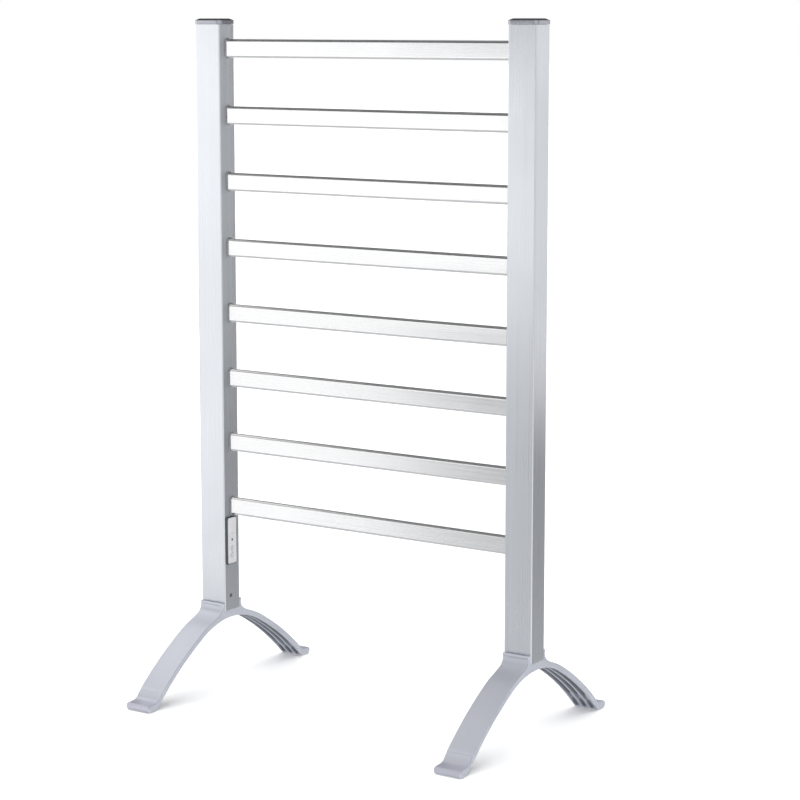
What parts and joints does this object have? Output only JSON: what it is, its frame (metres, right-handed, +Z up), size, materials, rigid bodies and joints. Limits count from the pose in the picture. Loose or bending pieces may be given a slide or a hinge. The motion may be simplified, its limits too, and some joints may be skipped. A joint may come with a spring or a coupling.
{
  "type": "towel warmer rack",
  "caption": "Free-standing electric towel warmer: flat heated bars between two tall posts on arched feet, with push-button controls low on one post.",
  "frame": {"origin": "floor level, below the middle of the rack", "axes": "+Z up, X along the bars with the controls on the -X post, front towards -Y"},
  "size_m": [0.5274, 0.3628, 0.905],
  "materials": {
    "anodised_post": "satin anodised extrusion, fine lengthwise grain",
    "anodised_bar": "bright satin anodised tube, fine lengthwise grain",
    "cap_plastic": "moulded, cool grey with a metallic flake",
    "bush_plastic": "moulded, mid grey",
    "cast_foot": "silver-grey paint on a casting",
    "toe_shoe": "moulded, cool grey, matched to the foot",
    "dark_screw": "dulled zinc, darker than the posts",
    "plated_screw": "zinc plated",
    "housing_gloss": "glossy, black",
    "face_plate": "satin, pale grey",
    "button_plastic": "satin, pale grey",
    "smoked_lens": "clear-smoked, polished",
    "board_laminate": "green laminate",
    "component_black": "black component moulding",
    "lamp_amber": "amber, translucent look",
    "heating_sleeve": "red-brown silicone sleeve",
    "terminal_white": "off-white moulding",
    "cutout_metal": "drawn can",
    "wire_brown": "brown insulation",
    "wire_blue": "blue insulation",
    "gland_plastic": "moulded, black"
  },
  "bodies": {
    "frame": {"left_upright": "anodised_post", "right_upright": "anodised_post", "left_top_cap": "cap_plastic", "right_top_cap": "cap_plastic", "bar_1": "anodised_bar", "bar_2": "anodised_bar", "bar_3": "anodised_bar", "bar_4": "anodised_bar", "bar_5": "anodised_bar", "bar_6": "anodised_bar", "bar_7": "anodised_bar", "bar_8": "anodised_bar", "left_bush_1": "bush_plastic", "left_bush_2": "bush_plastic", "left_bush_3": "bush_plastic", "left_bush_4": "bush_plastic", "left_bush_5": "bush_plastic", "left_bush_6": "bush_plastic", "left_bush_7": "bush_plastic", "left_bush_8": "bush_plastic", "right_bush_1": "bush_plastic", "right_bush_2": "bush_plastic", "right_bush_3": "bush_plastic", "right_bush_4": "bush_plastic", "right_bush_5": "bush_plastic", "right_bush_6": "bush_plastic", "right_bush_7": "bush_plastic", "right_bush_8": "bush_plastic", "left_foot": "cast_foot", "right_foot": "cast_foot", "left_front_shoe": "toe_shoe", "left_rear_shoe": "toe_shoe", "right_front_shoe": "toe_shoe", "right_rear_shoe": "toe_shoe", "left_foot_screw": "dark_screw", "right_foot_screw": "dark_screw", "control_housing": "housing_gloss", "control_face_plate": "face_plate", "indicator_lens": "smoked_lens", "circuit_board": "board_laminate", "relay": "component_black", "power_switch": "component_black", "timer_switch": "component_black", "indicator_lamp": "lamp_amber", "heating_cable": "heating_sleeve", "cutout_lead": "heating_sleeve", "terminal_block": "terminal_white", "thermal_cutout": "cutout_metal", "board_lead": "wire_brown", "live_wire": "wire_brown", "neutral_wire": "wire_blue", "cord_gland": "gland_plastic", "gland_nut": "gland_plastic", "earth_screw": "plated_screw"},
    "power_button": {"power_button": "button_plastic"},
    "timer_button": {"timer_button": "button_plastic"}
  },
  "joints": [
    {"name": "power_press", "type": "slide", "parent": "frame", "child": "power_button", "axis": [-1, 0, 0], "range_m": [0, 0.0006], "stiffness_N_per_m": 400},
    {"name": "timer_press", "type": "slide", "parent": "frame", "child": "timer_button", "axis": [-1, 0, 0], "range_m": [0, 0.0006], "stiffness_N_per_m": 400}
  ]
}
